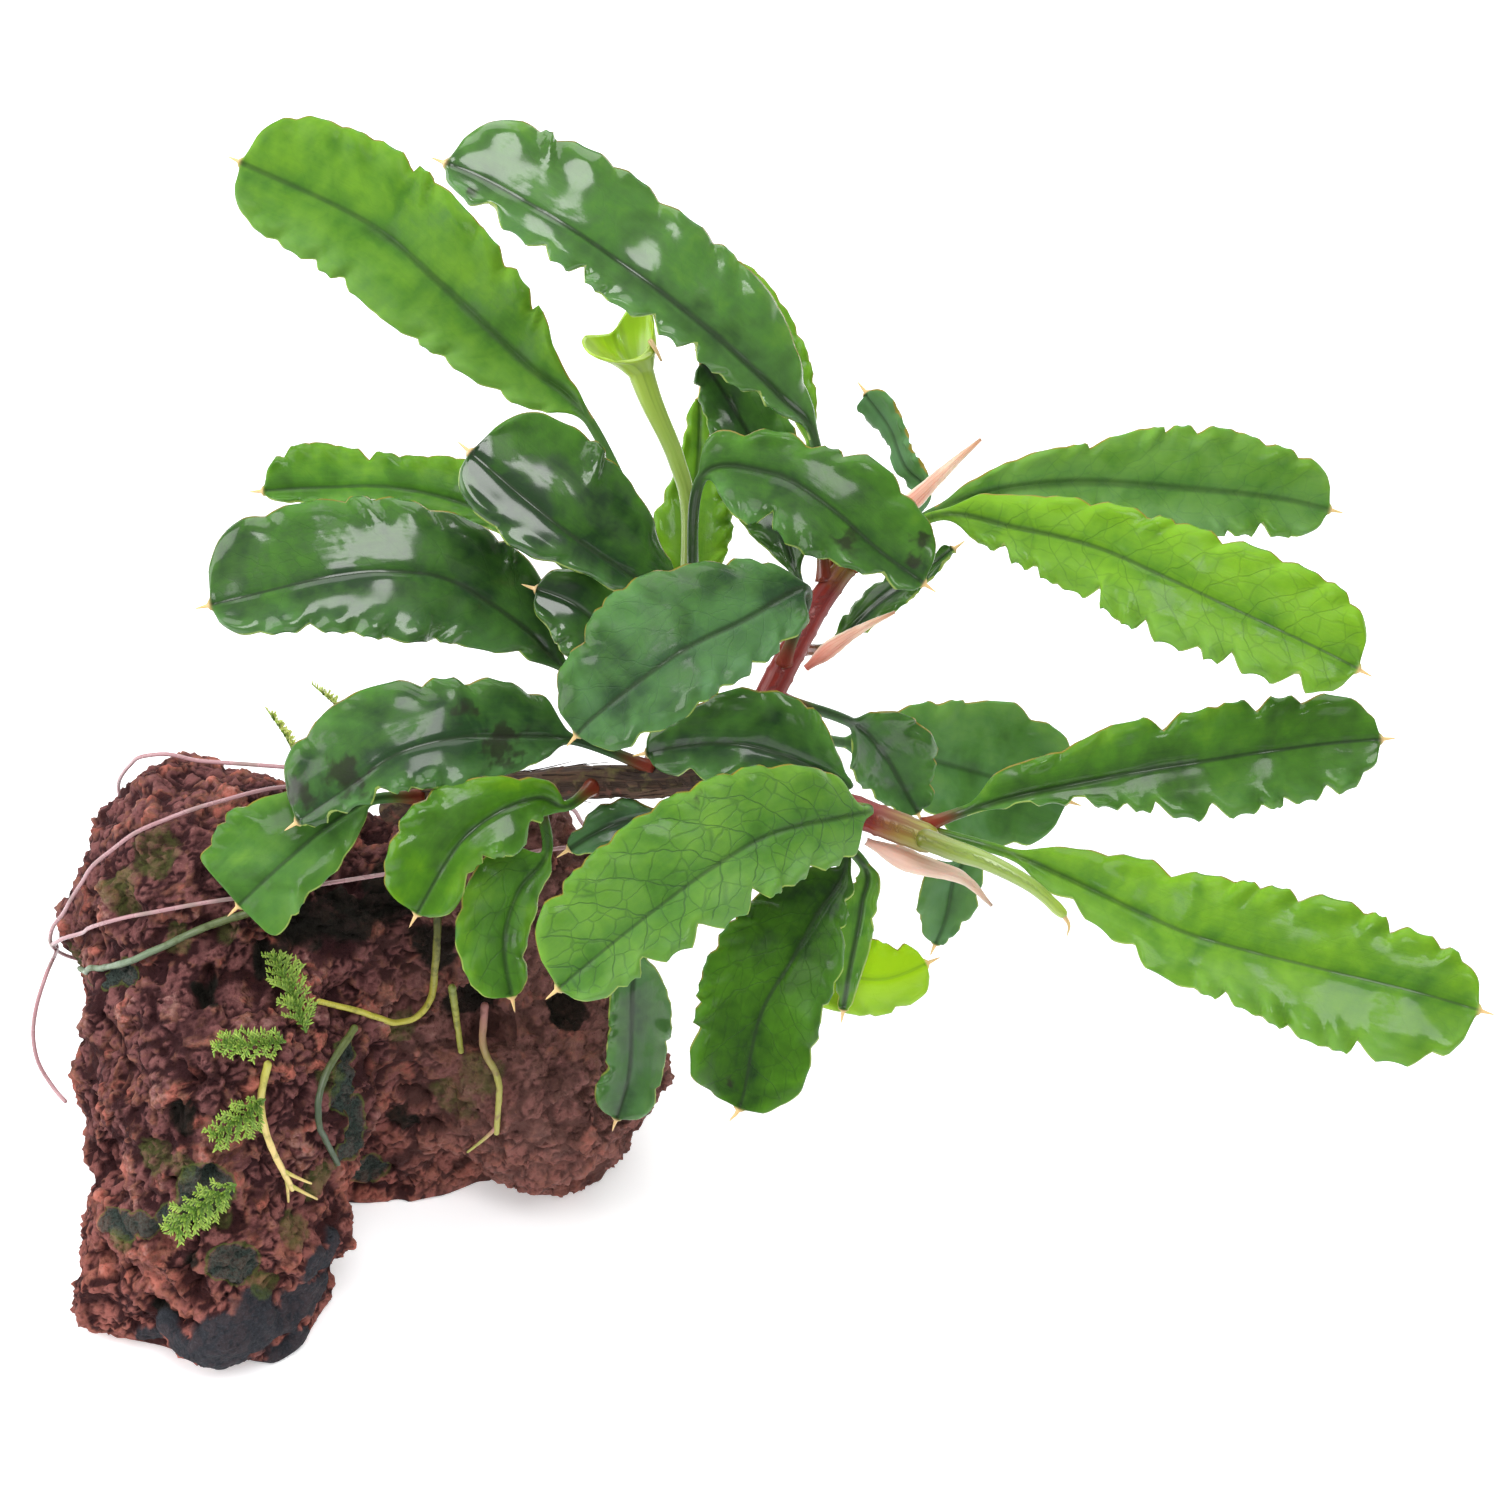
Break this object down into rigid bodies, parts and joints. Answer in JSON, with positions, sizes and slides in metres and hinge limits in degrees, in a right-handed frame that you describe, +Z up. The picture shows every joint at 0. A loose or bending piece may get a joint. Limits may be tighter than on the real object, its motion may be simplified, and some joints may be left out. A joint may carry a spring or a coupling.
{
  "type": "bucephalandra on lava rock",
  "caption": "Small leafy aquarium plant with wavy glossy leaves, tied by clear line to a porous red lava rock.",
  "frame": {"origin": "on the rock's flat broken base, near the middle of its footprint", "axes": "+Z up; +X along the object's greatest length, towards the free shoots; -Y towards the viewer of the picture"},
  "size_m": [0.1464, 0.1019, 0.1083],
  "materials": {
    "lava_rock": "rough porous red lava with algae patches",
    "rhizome_bark": "brown and fibrous",
    "red_stem": "smooth waxy red",
    "dark_leaf": "glossy dark green",
    "bright_leaf": "satin yellow-green",
    "young_leaf": "satin bright yellow-green",
    "sheath": "thin papery pink",
    "root": "matte yellow-green",
    "moss": "fine matte fronds",
    "tie_line": "clear pinkish line"
  },
  "bodies": {
    "root": {"lava_rock": "lava_rock", "leaf_back_broad": "bright_leaf", "leaf_back_low": "dark_leaf", "leaf_back_petioled": "dark_leaf", "leaf_behind_crest": "bright_leaf", "leaf_behind_front": "dark_leaf", "leaf_behind_spotted": "dark_leaf", "leaf_centre": "dark_leaf", "leaf_centre_under": "dark_leaf", "leaf_crest": "dark_leaf", "leaf_curled_small": "dark_leaf", "leaf_drooping": "dark_leaf", "leaf_far_left": "dark_leaf", "leaf_far_left_back": "bright_leaf", "leaf_front_broad": "bright_leaf", "leaf_front_down": "dark_leaf", "leaf_furled_right": "young_leaf", "leaf_glossy_left": "dark_leaf", "leaf_hanging": "dark_leaf", "leaf_left_small": "dark_leaf", "leaf_narrow_dark": "dark_leaf", "leaf_over_rock": "dark_leaf", "leaf_pale_upper_left": "bright_leaf", "leaf_right_bright": "bright_leaf", "leaf_right_low": "bright_leaf", "leaf_right_middle": "bright_leaf", "leaf_right_top": "bright_leaf", "leaf_small_hanging": "bright_leaf", "leaf_spotted": "dark_leaf", "leaf_tucked": "dark_leaf", "leaf_twisted": "dark_leaf", "leaf_unrolling": "young_leaf", "leaf_upright_young": "bright_leaf", "leaf_young_bright": "young_leaf", "moss_frond_low": "moss", "moss_frond_side": "moss", "moss_frond_top": "moss", "moss_mat_low": "moss", "moss_tuft_back": "moss", "moss_tuft_high": "moss", "rhizome": "rhizome_bark", "root_dark_loop": "root", "root_front": "root", "root_left_edge": "root", "root_lower_left": "root", "root_pink_right": "root", "root_short_right": "root", "sheath_right": "sheath", "sheath_upper_low": "sheath", "sheath_upper_tip": "sheath", "shoot_left": "red_stem", "shoot_right": "red_stem", "shoot_upper": "red_stem", "tie_line": "tie_line"}
  },
  "joints": []
}
